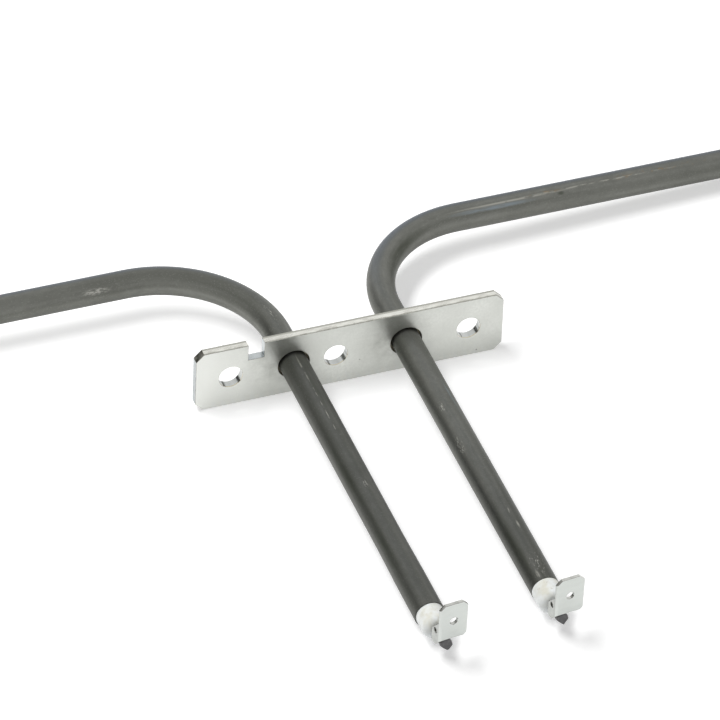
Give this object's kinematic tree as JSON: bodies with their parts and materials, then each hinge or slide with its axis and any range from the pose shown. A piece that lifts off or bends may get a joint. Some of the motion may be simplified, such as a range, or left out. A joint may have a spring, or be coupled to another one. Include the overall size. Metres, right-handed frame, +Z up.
{
  "type": "tubular heating element",
  "caption": "Sheathed electric heating element: a flat loop of bent metal tube whose legs pass through a screw-on plate and end in ceramic beads and blade terminals.",
  "frame": {"origin": "middle of the mounting plate's face that lies against the wall, on the plane of the tube's centre line", "axes": "+X along the plate, +Y from the plate towards the loop in the heated room, +Z up; the legs and terminals point along -Y"},
  "size_m": [0.3364, 0.3981, 0.0188],
  "materials": {
    "sheath_steel": "dark annealed stainless steel with faint drawing lines",
    "magnesia": "pressed powder, hidden",
    "coil_wire": "bare resistance wire, hidden",
    "plate_zinc": "dull zinc-plated sheet",
    "braze_metal": "dull filler metal",
    "pin_steel": "darkened steel, cropped end",
    "seal_rubber": "silicone plug, hidden",
    "bead_ceramic": "fired white ceramic, slightly glossy",
    "blade_metal": "dull nickel-plated strip"
  },
  "bodies": {
    "root": {"sheath": "sheath_steel", "magnesia_filling": "magnesia", "resistance_coil": "coil_wire", "mounting_plate": "plate_zinc", "left_braze_ring": "braze_metal", "right_braze_ring": "braze_metal", "left_terminal_pin": "pin_steel", "right_terminal_pin": "pin_steel", "left_end_seal": "seal_rubber", "right_end_seal": "seal_rubber", "left_ceramic_bead": "bead_ceramic", "right_ceramic_bead": "bead_ceramic", "left_blade_terminal": "blade_metal", "right_blade_terminal": "blade_metal"}
  },
  "joints": []
}
